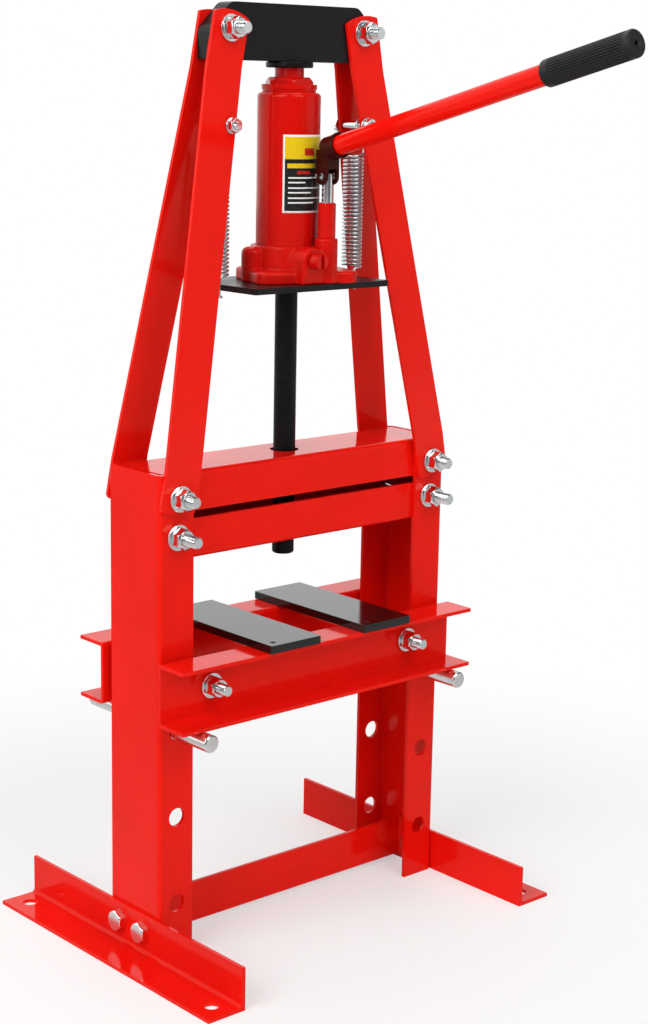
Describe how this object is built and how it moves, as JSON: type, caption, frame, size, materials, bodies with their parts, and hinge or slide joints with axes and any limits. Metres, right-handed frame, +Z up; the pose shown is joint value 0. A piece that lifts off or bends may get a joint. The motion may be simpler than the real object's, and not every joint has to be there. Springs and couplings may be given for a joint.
{
  "type": "hydraulic press",
  "caption": "Bench hydraulic press: a red A-frame with folded channel uprights, a hand-pumped bottle jack pushing a spring-returned ram down onto an adjustable bed.",
  "frame": {"origin": "on the floor under the ram, at the centre of the four floor-bolt holes in the feet", "axes": "+Z up along the ram, X across the two uprights, -Y to the front where the pump handle points"},
  "size_m": [0.476, 0.6154, 0.9495],
  "materials": {
    "red_paint": "bright gloss red paint",
    "cast_red_paint": "red paint on a casting",
    "black_paint": "satin black paint",
    "zinc_plate": "bright zinc plate",
    "bright_steel": "ground steel",
    "chrome": "polished",
    "black_rubber": "matt moulded rubber",
    "seal_rubber": "oiled rubber"
  },
  "bodies": {
    "frame": {"left_upright": "red_paint", "right_upright": "red_paint", "left_foot": "red_paint", "right_foot": "red_paint", "cross_brace": "red_paint", "upper_beam": "red_paint", "lower_beam": "red_paint", "front_left_strap": "red_paint", "front_right_strap": "red_paint", "rear_left_strap": "red_paint", "rear_right_strap": "red_paint", "head_block": "black_paint", "left_spring": "zinc_plate", "right_spring": "zinc_plate", "piston": "chrome", "piston_seal": "seal_rubber", "saddle": "black_paint", "beam_bolts": "zinc_plate", "beam_washers": "zinc_plate", "beam_nuts": "zinc_plate", "head_bolts": "zinc_plate", "head_washers": "zinc_plate", "head_nuts": "zinc_plate", "hanger_bolts": "zinc_plate", "hanger_washers": "zinc_plate", "hanger_nuts": "zinc_plate", "foot_bolts": "zinc_plate", "foot_nuts": "zinc_plate"},
    "carriage": {"ram_rod": "black_paint", "carrier_plate": "black_paint", "jack_base": "cast_red_paint", "reservoir": "red_paint", "reservoir_gasket": "seal_rubber", "pressure_cylinder": "bright_steel", "cap_nut": "cast_red_paint", "filler_plug": "black_rubber", "pump_cylinder": "cast_red_paint", "plunger_seal": "seal_rubber", "fulcrum_link": "cast_red_paint", "link_pins": "zinc_plate", "valve_balls": "bright_steel"},
    "lever": {"handle_socket": "cast_red_paint", "handle_bar": "red_paint", "handle_grip": "black_rubber"},
    "plunger": {"pump_plunger": "chrome", "plunger_pin": "zinc_plate"},
    "release": {"release_valve": "zinc_plate"},
    "bed": {"front_bed_rail": "red_paint", "rear_bed_rail": "red_paint", "bed_spacers": "zinc_plate", "bed_bolts": "zinc_plate", "bed_washers": "zinc_plate", "bed_nuts": "zinc_plate", "left_press_plate": "black_paint", "right_press_plate": "black_paint"},
    "left_support": {"left_pin": "bright_steel"},
    "right_support": {"right_pin": "bright_steel"}
  },
  "joints": [
    {"name": "press_stroke", "type": "slide", "parent": "frame", "child": "carriage", "axis": [0, 0, -1], "range_m": [0, 0.11], "stiffness_N_per_m": 700, "springref_m": -0.15, "deforming": ["left_spring", "right_spring"]},
    {"name": "pump_lever", "type": "hinge", "parent": "carriage", "child": "lever", "pos_m": [0.0125, -0.03633, 0.7835], "axis": [-1, 0, 0], "range_deg": [-24, 11]},
    {"name": "plunger_stroke", "type": "slide", "parent": "carriage", "child": "plunger", "axis": [0, 0, 1], "range_m": [-0.0043, 0.0021]},
    {"name": "release_turn", "type": "hinge", "parent": "carriage", "child": "release", "pos_m": [-0.01, -0.06, 0.701], "axis": [0, -1, 0], "range_deg": [0, 360]},
    {"name": "bed_lift", "type": "slide", "parent": "frame", "child": "bed", "axis": [0, 0, 1], "range_m": [0, 0.08]},
    {"name": "left_pin_slide", "type": "slide", "parent": "frame", "child": "left_support", "axis": [0, -1, 0], "range_m": [0, 0.16]},
    {"name": "right_pin_slide", "type": "slide", "parent": "frame", "child": "right_support", "axis": [0, -1, 0], "range_m": [0, 0.16]}
  ],
  "couplings": [
    {"joint": "plunger_stroke", "follows": "pump_lever", "m_per_rad": 0.00967}
  ]
}
